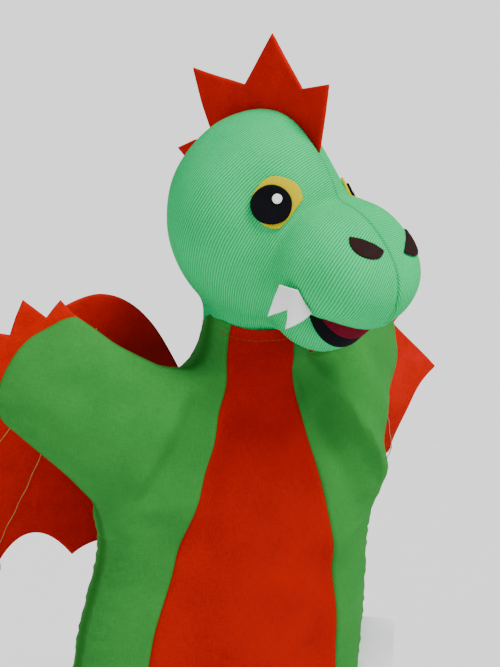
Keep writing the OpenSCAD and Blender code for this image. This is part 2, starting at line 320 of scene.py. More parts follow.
def cotton(name, color, seam_color):
    m = Nodes(name, color, 0.9, 0.06, 0.45, (*tint(color, 1.6), 1))
    uv = m.coords("UV")
    split = m.node("ShaderNodeSeparateXYZ")
    m.link(uv, split.inputs[0])
    thread = 2 * math.pi / 0.00042
    wobble = m.math("MULTIPLY", m.math("SUBTRACT", m.noise(m.coords("UV", (90, 900, 1)), 1.0, 2), 0.5), 0.9)
    warp = m.math("SINE", m.math("ADD", m.math("MULTIPLY", split.outputs[0], thread), wobble))
    weft = m.math("SINE", m.math("ADD", m.math("MULTIPLY", split.outputs[1], thread), wobble))
    weave = m.math("MULTIPLY", warp, weft)
    slub_a = m.noise(m.coords("UV", (2600, 260, 1)), 1.0, 3, 0.6)
    slub_b = m.noise(m.coords("UV", (260, 2600, 1)), 1.0, 3, 0.6)
    slub = m.math("ADD", slub_a, slub_b)
    patch = m.noise(m.coords("Object"), 38.0, 3, 0.6)
    value = m.math("ADD", m.math("MULTIPLY", slub, 0.36), m.math("MULTIPLY", patch, 0.28))
    # The weave relief also shifts the colour a little over the thread crossings, which is painted shade and
    # highlight.
    value = m.math("ADD", value, m.math("MULTIPLY", weave, 0.05))
    shade = m.ramp(value, [(0.3, tint(color, 0.72)), (0.5, color), (0.72, tint(color, 1.28))])
    edge = m.attribute("seam")
    line = m.math("SUBTRACT", 1.0, m.math("MULTIPLY", edge, 1.6), clamp=True)
    shade = m.mix(m.math("MULTIPLY", line, 0.8), shade, seam_color)
    m.color(shade)
    m.bump(weave, 0.00007, 0.7)
    m.bump(slub, 0.00028, 0.7)
    crumple = m.noise(m.coords("Object"), 150.0, 4, 0.6)
    m.bump(crumple, 0.0006, 0.45)
    return m.mat


def felt(name, color, rough=0.95, spread=0.3):
    m = Nodes(name, color, rough, 0.12, 0.55, (*tint(color, 1.8), 1))
    obj = m.coords("Object")
    fine = m.noise(obj, 1500.0, 4, 0.7)
    fibre_a = m.noise(m.coords("Object", (500, 3000, 900), (0.4, 0.2, 0.6)), 1.0, 3, 0.6, distortion=0.6)
    fibre_b = m.noise(m.coords("Object", (3000, 600, 700), (0.1, 0.8, -0.5)), 1.0, 3, 0.6, distortion=0.6)
    fibre_c = m.noise(m.coords("Object", (700, 800, 3000), (-0.6, 0.3, 0.3)), 1.0, 3, 0.6, distortion=0.6)
    fibre = m.math("MAXIMUM", m.math("MAXIMUM", fibre_a, fibre_b), fibre_c)
    cloud = m.noise(obj, 90.0, 4, 0.65)
    value = m.math("ADD", m.math("MULTIPLY", fibre, 0.55), m.math("MULTIPLY", cloud, 0.35))
    value = m.math("ADD", value, m.math("MULTIPLY", fine, 0.15))
    lo, hi = 1 - spread, 1 + spread
    m.color(m.ramp(value, [(0.38, tint(color, lo)), (0.56, color), (0.74, tint(color, hi))]))
    m.bump(fibre, 0.00025, 0.8)
    m.bump(fine, 0.00015, 0.7)
    m.bump(cloud, 0.0006, 0.5)
    return m.mat


def knit(name, color):
    """Fine jersey: wales run along V and are 1.16 mm apart, each a column of small V stitches."""
    m = Nodes(name, color, 0.95, 0.0)
    uv = m.coords("UV")
    warp = m.noise(m.coords("UV", (60, 60, 1)), 1.0, 2, 0.5, out="Color")
    centred = m.node("ShaderNodeVectorMath", operation="SUBTRACT")
    m.link(warp, centred.inputs[0])
    centred.inputs[1].default_value = (0.5, 0.5, 0.5)
    scaled = m.node("ShaderNodeVectorMath", operation="SCALE")
    m.link(centred.outputs[0], scaled.inputs[0])
    scaled.inputs["Scale"].default_value = 0.0016
    moved = m.node("ShaderNodeVectorMath", operation="ADD")
    m.link(uv, moved.inputs[0])
    m.link(scaled.outputs[0], moved.inputs[1])
    split = m.node("ShaderNodeSeparateXYZ")
    m.link(moved.outputs[0], split.inputs[0])
    u, v = split.outputs[0], split.outputs[1]
    wale = 0.00116
    course = 0.00085
    phase = m.math("MULTIPLY", u, 2 * math.pi / wale)
    across = m.math("SINE", phase)
    rib = m.math("MULTIPLY", m.math("ADD", across, 1.0), 0.5)
    rib = m.math("POWER", rib, 0.6)
    lean = m.math("MULTIPLY", m.math("ABSOLUTE", m.math("COSINE", m.math("MULTIPLY", phase, 0.5))), 1.4)
    along = m.math("MULTIPLY", v, 2 * math.pi / course)
    stitch = m.math("SINE", m.math("ADD", along, m.math("MULTIPLY", lean, 2.2)))
    loops = m.math("MULTIPLY", m.math("ADD", stitch, 1.0), 0.5)
    bumps = m.math("MULTIPLY", m.math("MULTIPLY", loops, rib), 0.35)
    height = m.math("ADD", m.math("MULTIPLY", rib, 0.75), bumps)
    fleck = m.noise(m.coords("UV", (900, 900, 1)), 1.0, 3, 0.6)
    cloud = m.noise(m.coords("Object"), 45.0, 3, 0.55)
    # The rib and stitch height also sets the colour: darker between wales and lighter on wale tops, which is painted
    # shade and highlight on the knit relief. Fleck and cloud add uneven tone.
    value = m.math("ADD", m.math("MULTIPLY", height, 0.52), m.math("MULTIPLY", fleck, 0.3))
    value = m.math("ADD", value, m.math("MULTIPLY", m.math("SUBTRACT", cloud, 0.5), 0.25))
    shade = m.ramp(value, [(0.12, tint(color, 0.5)), (0.42, tint(color, 0.9)), (0.72, tint(color, 1.2))])
    # Painted shade: within about 1 mm of the head's midline seam, where the skin dips into a groove, the colour is
    # pulled up to halfway towards a darker copy of the knit.
    seam_groove_painted_shade = m.math("SUBTRACT", 1.0, m.math("MULTIPLY", m.attribute("seam"), 0.9), clamp=True)
    shade = m.mix(m.math("MULTIPLY", seam_groove_painted_shade, 0.5), shade, tint(color, 0.32))
    m.color(shade)
    m.bump(height, 0.00032, 0.9)
    m.bump(fleck, 0.0002, 0.5)
    m.bump(cloud, 0.0012, 0.35)
    return m.mat


def thread(name, color):
    m = Nodes(name, color, 0.7, 0.2)
    twist = m.noise(m.coords("Object", (2500, 2500, 2500)), 1.0, 2)
    m.color(m.ramp(twist, [(0.3, tint(color, 0.7)), (0.7, tint(color, 1.3))]))
    m.bump(twist, 0.0001, 0.6)
    return m.mat


GREEN = (0.032, 0.22, 0.036)
ORANGE = (0.37, 0.004, 0.0006)
MAT = {
    "green_cotton": cotton("green_cotton", GREEN, (0.012, 0.12, 0.010)),
    "orange_cotton": cotton("orange_cotton", ORANGE, (0.14, 0.010, 0.002)),
    "mint_knit": knit("mint_knit", (0.002, 0.60, 0.17)),
    "black_felt": felt("black_felt", (0.004, 0.004, 0.006), 0.9, 0.5),
    "white_felt": felt("white_felt", (0.80, 0.81, 0.80), 0.9, 0.08),
    "yellow_felt": felt("yellow_felt", (0.52, 0.42, 0.0), 0.9, 0.15),
    "brown_felt": felt("brown_felt", (0.022, 0.010, 0.009), 0.9, 0.4),
    "dark_red_felt": felt("dark_red_felt", (0.11, 0.003, 0.012), 0.9, 0.3),
    "orange_felt": felt("orange_felt", (0.42, 0.005, 0.0010), 0.9, 0.28),
    "red_felt": felt("red_felt", (0.44, 0.006, 0.0016), 0.9, 0.3),
    "thread": thread("thread", (0.36, 0.19, 0.07)),
    "orange_thread": thread("orange_thread", (0.26, 0.05, 0.01)),
    "white_tape": felt("white_tape", (0.90, 0.90, 0.91), 0.75, 0.03),
    "stuffing": felt("stuffing", (0.85, 0.85, 0.83), 0.95, 0.1),
    "card_tube": felt("card_tube", (0.45, 0.30, 0.16), 0.85, 0.2),
}


def finish_piece(ob, body, slot_name, *nodes):
    ob.data.materials.clear()
    ob.data.materials.append(MAT[slot_name])
    if body:
        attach(ob, body)
    if nodes:
        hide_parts(*nodes)
    return ob


# ---------------------------------------------------------------- camera, light and floor

AZ, EL, DIST = math.radians(-28), math.radians(12), 2.4
AIM = Vector(NECK * MM) + Vector((-0.0012, 0.0006, 0.0007))
camera = bpy.data.objects.new("camera", bpy.data.cameras.new("camera"))
bpy.context.scene.collection.objects.link(camera)
toward = Vector((math.sin(AZ) * math.cos(EL), -math.cos(AZ) * math.cos(EL), math.sin(EL)))
camera.location = AIM + toward * DIST
camera.rotation_euler = (-toward).to_track_quat("-Z", "Y").to_euler()
camera.data.sensor_fit = "VERTICAL"
camera.data.angle_y = 2 * math.atan(667 * 0.46 * MM / 2 / DIST)
camera.data.clip_start = 0.01
bpy.context.scene.camera = camera

world = bpy.data.worlds.new("world")
bpy.context.scene.world = world
world.use_nodes = True
world.node_tree.nodes["Background"].inputs[0].default_value = (0.95, 0.96, 1.0, 1)
world.node_tree.nodes["Background"].inputs[1].default_value = 0.42


KEY_AZ, KEY_EL = math.radians(28), math.radians(58)
FLOOR_R = 60.0


def area_light(name, azimuth, elevation, away, size, power, color=(1, 1, 1)):
    lamp = bpy.data.lights.new(name, "AREA")
    lamp.shape = "DISK"
    lamp.size = size
    lamp.energy = power
    lamp.color = color
    ob = bpy.data.objects.new(name, lamp)
    a, e = math.radians(azimuth), math.radians(elevation)
    d = Vector((math.sin(a) * math.cos(e), -math.cos(a) * math.cos(e), math.sin(e)))
    ob.location = Vector(NECK * MM) + d * away
    ob.rotation_euler = (-d).to_track_quat("-Z", "Y").to_euler()
    ob.visible_camera = False
    bpy.context.scene.collection.objects.link(ob)


sun = bpy.data.lights.new("key", "SUN")
sun.energy = 4.9
sun.angle = math.radians(28)
ob = bpy.data.objects.new("key", sun)
toward_sun = Vector(
    (math.sin(KEY_AZ) * math.cos(KEY_EL), -math.cos(KEY_AZ) * math.cos(KEY_EL), math.sin(KEY_EL))
)
ob.rotation_euler = (-toward_sun).to_track_quat("-Z", "Y").to_euler()
bpy.context.scene.collection.objects.link(ob)
area_light("fill_left", -70, 30, 1.5, 0.9, 5.0)


def stage_floor():
    turns = 96
    a = np.linspace(0, 2 * math.pi, turns, endpoint=False)
    verts = np.stack([FLOOR_R * np.cos(a), FLOOR_R * np.sin(a), np.full(turns, -0.0008)], 1)
    ob = new_object("floor", verts / MM, [tuple(range(turns))])
    mat = Nodes("floor", (0.86, 0.86, 0.86), 0.95)
    speck = mat.noise(mat.coords("Object"), 60.0, 2)
    mat.color(mat.ramp(speck, [(0.3, (0.85, 0.85, 0.85)), (0.7, (0.87, 0.87, 0.87))]))
    ob.data.materials.append(mat.mat)


stage_floor()

# ---------------------------------------------------------------- glove pattern

SIDE = spline(
    [(69.5, 0), (70.2, 30), (70.5, 60), (70.2, 88), (69, 108), (68.3, 121), (69.2, 131)], 2.0
)
ARM_LOW = spline(
    [(69.2, 131), (71.4, 136.2), (74.8, 141), (79.8, 146.6), (86.4, 153.6), (94, 161.6), (105.5, 172), (116.5, 182),
     (122.6, 187.6), (125.6, 193)], 1.8,
)
ARM_END = spline(
    [(125.6, 193), (126.3, 199.5), (124.7, 206.5), (120.5, 215.1), (115.7, 221.9), (110, 227), (102.2, 231),
     (95, 234.4), (88.9, 235.6)], 1.8,
)
ARM_TOP = spline([(88.9, 235.6), (80, 229), (71, 222), (64.5, 218), (57.7, 214.4), (49, 210.9), (42, 209.2)], 1.8)
SHOULDER = spline([(42, 209.2), (37.5, 208.3), (33, 207.8), (31, 208)], 2.0)
NECK_SIDE = spline([(31, 208), (27.4, 210.6), (25.2, 214.5), (24.1, 220), (23.6, 226), (23.5, 232)], 1.8)
FOLD = resample([(69.2, 131), (42, 209.2)], 1.9)
HEM_W = 69.5
SEAM_R = spline([(-48, 0), (-49, 67), (-45.5, 110), (-37.5, 150), (-29, 187), (-22.5, 206), (-19, 232)], 1.9)
SEAM_L = spline([(47, 0), (46, 67), (39.5, 110), (28.8, 150), (15, 187), (10.5, 206), (9.5, 232)], 1.9)


def cut_at(line, z):
    """Splits a rising line at a height, and puts a point exactly there."""
    k = np.searchsorted(line[:, 1], z)
    x = np.interp(z, line[:, 1], line[:, 0])
    last = k if abs(line[k - 1, 1] - z) > 0.3 else k - 1
    first = k if abs(line[k, 1] - z) > 0.3 else k + 1
    low = np.vstack([line[:last], [(x, z)]])
    high = np.vstack([[(x, z)], line[first:]])
    return low, high


SPLIT_Z = 208.0
TOP_Z = 232.0
SEAM_R_LOW, SEAM_R_HIGH = cut_at(SEAM_R, SPLIT_Z)
SEAM_L_LOW, SEAM_L_HIGH = cut_at(SEAM_L, SPLIT_Z)


def flip(line):
    return line * np.array([-1, 1])


def chain(*lines):
    """Joins lines end to start into one closed loop."""
    out = [lines[0]]
    for line in lines[1:]:
        if np.linalg.norm(line[0] - out[-1][-1]) > 1e-6:
            line = line[::-1]
        out.append(line[1:])
    loop = np.vstack(out)
    if np.linalg.norm(loop[0] - loop[-1]) < 1e-6:
        loop = loop[:-1]
    return loop


def level(x0, x1, z):
    return resample([(x0, z), (x1, z)], 2.0)


HALF = chain(SIDE, ARM_LOW, ARM_END, ARM_TOP, SHOULDER, NECK_SIDE)
SEWN = np.vstack([HALF])


def sewn_distance(points):
    """Distance to the seam that joins the front and back of the glove."""
    p = np.abs(points[:, :1])
    return distance(np.hstack([p, points[:, 1:]]), SEWN)


class Puff:
    """Half thickness of the glove over its flat pattern: the square solves a Poisson equation."""

    def __init__(self):
        self.x = np.arange(-130.0, 131.0)
        self.z = np.arange(-1.0, 244.0)
        gx, gz = np.meshgrid(self.x, self.z, indexing="ij")
        pts = np.stack([gx.ravel(), gz.ravel()], 1)
        loop = np.vstack(
            [HALF, [(23.5, 246)], [(-23.5, 246)], flip(HALF)[::-1], [(-HEM_W, -6)], [(HEM_W, -6)]]
        )
        mask = inside(pts, loop).reshape(gx.shape)
        upper = smooth(gz, 194, 214) * (1 - smooth(np.abs(gx), 26, 44))
        arm = smooth(np.abs(gx), 46, 62) * smooth(gz, 138, 152)
        source = 0.47 * (1 - upper) * (1 - arm) + 1.9 * upper + 0.30 * arm * (1 - upper)
        phi = np.zeros_like(gx)
        hem = gz <= 0
        phi_hem = 32.0**2 * np.clip(1 - (gx / HEM_W) ** 2, 0, 1)
        top = gz >= 230
        top &= np.abs(gx) < 30
        phi_top = np.clip(23.2**2 - gx**2, 0, None)
        width = np.where(gz < 140, 67, 90)
        phi = np.where(mask, 900 * np.clip(1 - (gx / width) ** 2, 0, 1), 0)
        red = (np.add.outer(np.arange(len(self.x)), np.arange(len(self.z))) % 2) == 0
        omega = 1.93
        for step in range(900):
            for colour in (red, ~red):
                near = np.zeros_like(phi)
                near[1:-1, 1:-1] = phi[2:, 1:-1] + phi[:-2, 1:-1] + phi[1:-1, 2:] + phi[1:-1, :-2]
                target = (near + source) / 4
                phi = np.where(colour & mask, phi + omega * (target - phi), phi)
                phi = np.where(mask, np.where(hem, phi_hem, np.where(top, phi_top, phi)), 0)
        dist = sewn_distance(pts).reshape(gx.shape)
        good = mask & (dist > 3.0)
        ratio = np.where(good, np.clip(phi, 0, None) / np.maximum(dist, 1e-3), 0)
        weight = good.astype(float)
        for _ in range(14):
            s = np.zeros_like(ratio)
            n = np.zeros_like(ratio)
            for dx, dz in ((1, 0), (-1, 0), (0, 1), (0, -1)):
                s += np.roll(np.roll(ratio * weight, dx, 0), dz, 1)
                n += np.roll(np.roll(weight, dx, 0), dz, 1)
            new = (~(weight > 0)) & (n > 0)
            ratio = np.where(new, s / np.maximum(n, 1), ratio)
            weight = np.where(new, 1.0, weight)
        self.ratio = ratio

    def __call__(self, p):
        fx = np.clip(p[:, 0] - self.x[0], 0, len(self.x) - 2)
        fz = np.clip(p[:, 1] - self.z[0], 0, len(self.z) - 2)
        i, j = fx.astype(int), fz.astype(int)
        a, b = fx - i, fz - j
        r = self.ratio
        val = (
            r[i, j] * (1 - a) * (1 - b) + r[i + 1, j] * a * (1 - b) + r[i, j + 1] * (1 - a) * b + r[i + 1, j + 1] * a * b
        )
        return np.sqrt(np.clip(val * sewn_distance(p), 0, None))


puff = Puff()


def fold_line(p, a, b, width, amount, fade=0.35):
    """A soft ridge along a line from a to b, fading at both ends."""
    a, b = np.array(a, float), np.array(b, float)
    d = b - a
    length = np.linalg.norm(d)
    d /= length
    along = (p - a) @ d / length
    across = (p - a) @ np.array([-d[1], d[0]])
    ends = smooth(along, -fade, fade) * (1 - smooth(along, 1 - fade, 1 + fade))
    return amount * np.exp(-((across / width) ** 2)) * ends


def waves(p, seed, count, length, amount, angle=None):
    rng = np.random.default_rng(seed)
    out = np.zeros(len(p))
    for _ in range(count):
        a = rng.uniform(0, math.pi) if angle is None else angle + rng.normal(0, 0.35)
        k = 2 * math.pi / (length * rng.uniform(0.7, 1.5))
        out += np.sin((p[:, 0] * math.cos(a) + p[:, 1] * math.sin(a)) * k + rng.uniform(0, 6.3))
    return amount * out / math.sqrt(count)


def front_folds(p):
    out = fold_line(p, (27, 206), (70, 148), 4.4, 6.0)
    out += fold_line(p, (16, 208), (44, 150), 8.0, -8.5)
    out += fold_line(p, (48, 200), (70, 160), 5.0, -1.4)
    out += fold_line(p, (-30, 206), (-60, 148), 6.0, -4.4)
    out += fold_line(p, (-36, 205), (-78, 163), 5.0, 1.6)
    out += fold_line(p, (-23, 204), (-47, 132), 5.0, 4.4)
    out += fold_line(p, (-52, 205), (-88, 190), 5.0, -1.0)
    out += fold_line(p, (-64, 146), (-40, 152), 3.0, 1.1)
    out += fold_line(p, (-64, 139), (-44, 141), 2.4, -0.9)
    out += fold_line(p, (64, 140), (48, 138), 2.6, -1.2)
    out += fold_line(p, (65, 132), (46, 124), 2.8, 1.3)
    out += fold_line(p, (-24, 190), (-30, 130), 4.0, -2.0)
    out += fold_line(p, (8, 200), (22, 120), 9.0, -1.4)
    out += fold_line(p, (-8, 150), (-14, 20), 10.0, 2.4)
    out += fold_line(p, (30, 110), (36, 10), 8.0, -2.2)
    out += waves(p, 5, 7, 42, 1.0) + waves(p, 9, 9, 19, 0.34)
    return out


def back_folds(p):
    out = fold_line(p, (-20, 204), (-62, 150), 6.0, 2.2)
    out += fold_line(p, (24, 204), (62, 152), 5.0, 2.6)
    out += fold_line(p, (36, 205), (66, 168), 4.0, -2.4)
    out += fold_line(p, (50, 200), (54, 160), 3.6, 2.2)
    out += fold_line(p, (-36, 200), (-40, 120), 7.0, -1.6)
    out += fold_line(p, (30, 150), (34, 20), 9.0, -1.6)
    out += fold_line(p, (-30, 110), (-28, 10), 10.0, 1.5)
    out += waves(p, 15, 7, 42, 0.7) + waves(p, 19, 9, 19, 0.24)
    return out


def seam_distance(p):
    return np.minimum(distance(p, SEAM_R), distance(p, SEAM_L))


FOLD_NORMAL = unit(np.array([209.2 - 131, 69.2 - 42.0]))


def arm_weight(p):
    q = (np.abs(p[:, 0]) - 42) * FOLD_NORMAL[0] + (p[:, 1] - 209.2) * FOLD_NORMAL[1]
    return smooth(q, 0, 20)


def glove_point(p, face):
    """Row-frame position, in millimetres, of a point of the flat pattern on the front (-1) or back (1)."""
    p = np.asarray(p, float)
    x, z = p[:, 0].copy(), p[:, 1].copy()
    t = puff(p)
    sewn = sewn_distance(p)
    soft = smooth(sewn, 0, 14)
    folds = front_folds(p) if face < 0 else back_folds(p)
    low = smooth(z, 0, 16) * (1 - smooth(z, 205, 216))
    y = t + folds * soft * (0.25 + 0.75 * low)
    if face < 0:
        near = seam_distance(p)
        y += (-0.7 * np.exp(-((near / 0.9) ** 2)) + 0.3 * np.exp(-(((near - 2.2) / 1.2) ** 2))) * soft
    pucker = np.sin(z * 0.74 + np.sin(z * 0.21) * 2) * 0.55 + np.sin(z * 1.31 + 1.0) * 0.3
    y += pucker * np.exp(-(((sewn - 3.0) / 3.2) ** 2)) * (1 - smooth(z, 196, 210))
    hem = 0.45 * np.exp(-(((z - 12.0) / 0.9) ** 2))
    y -= hem
    neck_turn = 0.4 * np.exp(-(((z - TOP_Z + 5.6) / 0.9) ** 2))
    y -= neck_turn
    y *= face
    if face < 0:
        z = z - 5.0 * np.clip(1 - (x / 23.5) ** 4, 0, 1) * smooth(z, SPLIT_Z, TOP_Z)
    x = x - 5.5 * smooth(-x, 20, 70) * smooth(132 - z, 0, 60)
    side = np.where(x < 0, -1.0, 1.0)
    w = arm_weight(p)
    frac = z / NECK_Z
    straight = np.stack([x + LEAN[0] * frac, y + LEAN[1] * frac, z], 1)
    sweep = np.where(x < 0, SWEEP[-1], SWEEP[1])
    s = np.abs(x) - ARM_X
    ly = y + ARM_DEPTH
    ax = s * np.cos(sweep) - ly * np.sin(sweep)
    ay = s * np.sin(sweep) + ly * np.cos(sweep)
    arm = np.stack([LEAN[0] + side * (ARM_X + ax), ARM_HINGE_Y + ay, z], 1)
    return straight * (1 - w)[:, None] + arm * w[:, None]


STEP = 2.3
ROWS = (0.18, 0.6, 1.3, 2.4)


def glove_loops():
    """Each panel's outline on the flat pattern, its face and what it becomes."""
    m = flip
    hem_r = level(-HEM_W, SEAM_R[0, 0], 0)
    hem_c = level(SEAM_R[0, 0], SEAM_L[0, 0], 0)
    hem_l = level(SEAM_L[0, 0], HEM_W, 0)
    xr, xl = SEAM_R_LOW[-1, 0], SEAM_L_LOW[-1, 0]
    mid_r, mid_c, mid_l = level(-31, xr, SPLIT_Z), level(xr, xl, SPLIT_Z), level(xl, 31, SPLIT_Z)
    top_r, top_c, top_l = (
        level(-23.5, SEAM_R_HIGH[-1, 0], TOP_Z),
        level(SEAM_R_HIGH[-1, 0], SEAM_L_HIGH[-1, 0], TOP_Z),
        level(SEAM_L_HIGH[-1, 0], 23.5, TOP_Z),
    )
    centre = resample([(0, 0), (0, SPLIT_Z)], 2.0)
    arm = chain(FOLD, ARM_TOP, ARM_END, ARM_LOW)
    return {
        "belly": (-1, chain(hem_c, SEAM_L_LOW, mid_c, SEAM_R_LOW)),
        "front_right": (-1, chain(m(SIDE), m(FOLD), m(SHOULDER), mid_r, SEAM_R_LOW, hem_r)),
        "front_left": (-1, chain(SIDE, FOLD, SHOULDER, mid_l, SEAM_L_LOW, hem_l)),
        "back_right": (1, chain(m(SIDE), m(FOLD), m(SHOULDER), level(-31, 0, SPLIT_Z), centre, level(-HEM_W, 0, 0))),
        "back_left": (1, chain(SIDE, FOLD, SHOULDER, level(31, 0, SPLIT_Z), centre, level(HEM_W, 0, 0))),
        "arm_front_right": (-1, m(arm)),
        "arm_back_right": (1, m(arm)),
        "arm_front_left": (-1, arm),
        "arm_back_left": (1, arm),
        "neck_belly": (-1, chain(mid_c, SEAM_L_HIGH, top_c, SEAM_R_HIGH)),
        "neck_front_right": (-1, chain(m(NECK_SIDE), top_r, SEAM_R_HIGH, mid_r)),
        "neck_front_left": (-1, chain(NECK_SIDE, top_l, SEAM_L_HIGH, mid_l)),
        "neck_back": (1, chain(level(-31, 31, SPLIT_Z), NECK_SIDE, level(23.5, -23.5, TOP_Z), m(NECK_SIDE))),
    }


def build_glove():
    panels, table, points, faces_all = {}, {}, [], []
    for name, (face, loop) in glove_loops().items():
        v, f = fill(loop, STEP, ROWS)
        pos = glove_point(v, face)
        sewn = sewn_distance(v) < 1e-4
        ids = []
        for k in range(len(v)):
            key = (round(v[k, 0], 2), round(v[k, 1], 2), 0 if sewn[k] else face)
            if key not in table:
                table[key] = len(points)
                points.append(pos[k])
            ids.append(table[key])
        a, b, c = (v[f[0][i]] for i in range(3))
        turn = np.cross(b - a, c - a)
        outward = (turn > 0) == (face < 0)
        if not outward:
            f = [tuple(reversed(t)) for t in f]
        faces_all += [tuple(ids[i] for i in t) for t in f]
        panels[name] = (v, f, ids, face)
    points = np.array(points)
    normals = vertex_normals(points, faces_all)
    return panels, points, normals


CLOTH = 0.5
panels, glove_pts, glove_nrm = build_glove()


def panel_object(name, parts):
    verts, faces, uv, seam, nrm = [], [], [], [], []
    for part in parts:
        v, f, ids, face = panels[part]
        base = len(verts)
        verts += [glove_pts[i] for i in ids]
        nrm += [glove_nrm[i] for i in ids]
        faces += [tuple(i + base for i in t) for t in f]
        uv += [tuple(p) for p in v]
        d = sewn_distance(v)
        if face < 0:
            d = np.minimum(d, seam_distance(v))
        else:
            d = np.minimum(d, np.abs(v[:, 0]) + 40 * (v[:, 1] > SPLIT_Z))
        seam += list(d)
    verts, nrm = np.array(verts), np.array(nrm)
    return closed_sheet(name, verts, faces, verts - nrm * CLOTH, np.array(uv), {"seam": seam}, nrm)


glove_pieces = {}
for piece, parts, slot_name, nodes, flat, area in (
    ("belly_cloth", ["belly"], "orange_cotton", ["belly_panel"], (0.118, 0.218), 0.0174),
    ("front_cloth_right", ["front_right"], "green_cotton", ["front_panel_right"], (0.075, 0.214), 0.0073),
    ("front_cloth_left", ["front_left"], "green_cotton", ["front_panel_left"], (0.085, 0.214), 0.0086),
    ("back_cloth_right", ["back_right"], "green_cotton", ["back_panel_right"], (0.085, 0.212), 0.0165),
    ("back_cloth_left", ["back_left"], "green_cotton", ["back_panel_left"], (0.082, 0.212), 0.0159),
):
    ob = panel_object(piece, parts)
    finish_piece(ob, "glove", slot_name, *nodes)
    glove_pieces[piece] = ob

for piece, parts, slot_name, nodes, flat, area in (
    ("neck_cloth_belly", ["neck_belly"], "orange_cotton", ["collar_front"], (0.036, 0.026), 0.0007),
    (
        "neck_cloth_green", ["neck_front_right", "neck_front_left", "neck_back"], "green_cotton",
        ["collar_back"],
        (0.130, 0.026), 0.0031,
    ),
):
    ob = panel_object(piece, parts)
    finish_piece(ob, None, slot_name, *nodes)
    start, end = MM * np.array([14, -16, 208.2]), MM * np.array([14, -16, 219.5])
    tuple(start)
    tuple(end)
    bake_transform(ob)

for side in (-1, 1):
    for face_name in ("front", "back"):
        part = f"arm_{face_name}_{SIDE_NAME[side]}"
        ob = panel_object(f"arm_cloth_{face_name}_{SIDE_NAME[side]}", [part])
        finish_piece(ob, None, "green_cotton", part)
        ends = glove_point(np.array([(side * 69.2, 131.0), (side * 42.0, 209.2)]), -1)
        a, b = ends
        d = unit(np.array([b[0] - a[0], 0, b[2] - a[2]]))
        out = np.array([side * abs(d[2]), 0, abs(d[0])])
        start = (a + b) / 2 + out * 0.4
        end = start + out * 20
        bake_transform(ob)


# ---------------------------------------------------------------- head

TURN = np.array(
    [
        [math.cos(HEAD_TURN), -math.sin(HEAD_TURN), 0],
        [math.sin(HEAD_TURN), math.cos(HEAD_TURN), 0],
        [0, 0, 1],
    ]
)


def on_head(local):
    return np.asarray(local, float) @ TURN.T + NECK


def blend_min(a, b, k):
    h = np.clip(0.5 + 0.5 * (b - a) / k, 0, 1)
    return b * (1 - h) + a * h - k * h * (1 - h)


def ball(p, c, r):
    return np.linalg.norm(p - np.array(c, float), axis=-1) - r


def bean(p, half, y, z, r):
    q = p - np.array([0.0, y, z])
    q = q.copy()
    q[..., 0] -= np.clip(q[..., 0], -half, half)
    return np.linalg.norm(q, axis=-1) - r


JAW = (0, -41.9, 23.3)
JAW_R = 24.2


def head_field(p, grow=0.0):
    """Signed distance, in millimetres, to the stuffed head in head coordinates."""
    squeezed = p * np.array([1.12, 1, 1])
    skull = blend_min(ball(p, (0, -5.5, 57), 44), ball(squeezed, (0, -11.2, 64.2), 42.3), 6)
    skull = blend_min(skull, ball(p, (0, -8, 50), 42), 6)
    neck = np.maximum(np.hypot(p[..., 0], p[..., 1]) - 22.3, np.maximum(-2.5 - p[..., 2], p[..., 2] - 24))
    skull = blend_min(skull, neck, 6)
    jaw = ball(p, JAW, JAW_R)
    facet = (p - np.array([21.5, -30.0, 79.5])) @ np.array([0.60, -0.62, 0.505])
    skull = -blend_min(-skull, -facet, 9)
    whole = blend_min(blend_min(skull, jaw, 7), muzzle_field(p), 2.2)
    return whole - grow


def muzzle_field(p):
    muzzle = blend_min(bean(p, 8, -54, 42.6, 25.6), bean(p, 9, -66, 37, 20.6), 6)
    muzzle = blend_min(muzzle, ball(p, (0, -69, 31.5), 18.3), 6)
    return blend_min(ball(p, (0, -38, 42), 29.5), muzzle, 7)


def head_gradient(p, h=0.25):
    out = np.zeros_like(p)
    for k in range(3):
        d = np.zeros(3)
        d[k] = h
        out[:, k] = head_field(p + d) - head_field(p - d)
    return unit(out)


def lay_on_head(p, lift):
    """Moves points along the field onto the head's surface, then out by lift."""
    q = np.array(p, float)
    for _ in range(6):
        q -= head_gradient(q) * (head_field(q) - lift)[:, None] * 0.9
    return q


def head_mesh(step, grow=0.0):
    lo, hi = np.array([-58.0, -94.0, -6.0]), np.array([58.0, 46.0, 112.0])
    n = np.ceil((hi - lo) / step).astype(int)
    n[0] += n[0] % 2
    xs = (np.arange(n[0]) - (n[0] - 1) / 2) * step
    ys, zs = lo[1] + np.arange(n[1]) * step, lo[2] + np.arange(n[2]) * step
    grid = np.stack(np.meshgrid(xs, ys, zs, indexing="ij"), -1)
    field = openvdb.FloatGrid()
    field.background = 9.0
    field.copyFromArray((head_field(grid, grow) / step).astype(np.float32))
    points, quads = field.convertToQuads(isovalue=0.0)
    points = points.astype(float) * step + np.array([xs[0], ys[0], zs[0]])
    return points, quads.astype(int)


def subdivide(points, quads):
    """One level of subdivision, as new points on the old mesh's smooth surface."""
    mesh = bpy.data.meshes.new("work")
    mesh.from_pydata([tuple(p) for p in points], [], [tuple(int(i) for i in q) for q in quads])
    ob = bpy.data.objects.new("work", mesh)
    bpy.context.scene.collection.objects.link(ob)
    mod = ob.modifiers.new("subdivision", "SUBSURF")
    mod.levels = 1
    mod.boundary_smooth = "PRESERVE_CORNERS"
    made = bpy.data.meshes.new_from_object(ob.evaluated_get(bpy.context.evaluated_depsgraph_get()))
    v = np.empty(len(made.vertices) * 3)
    made.vertices.foreach_get("co", v)
    f = [tuple(p.vertices) for p in made.polygons]
    bpy.data.objects.remove(ob)
    bpy.data.meshes.remove(mesh)
    bpy.data.meshes.remove(made)
    return v.reshape(-1, 3), f


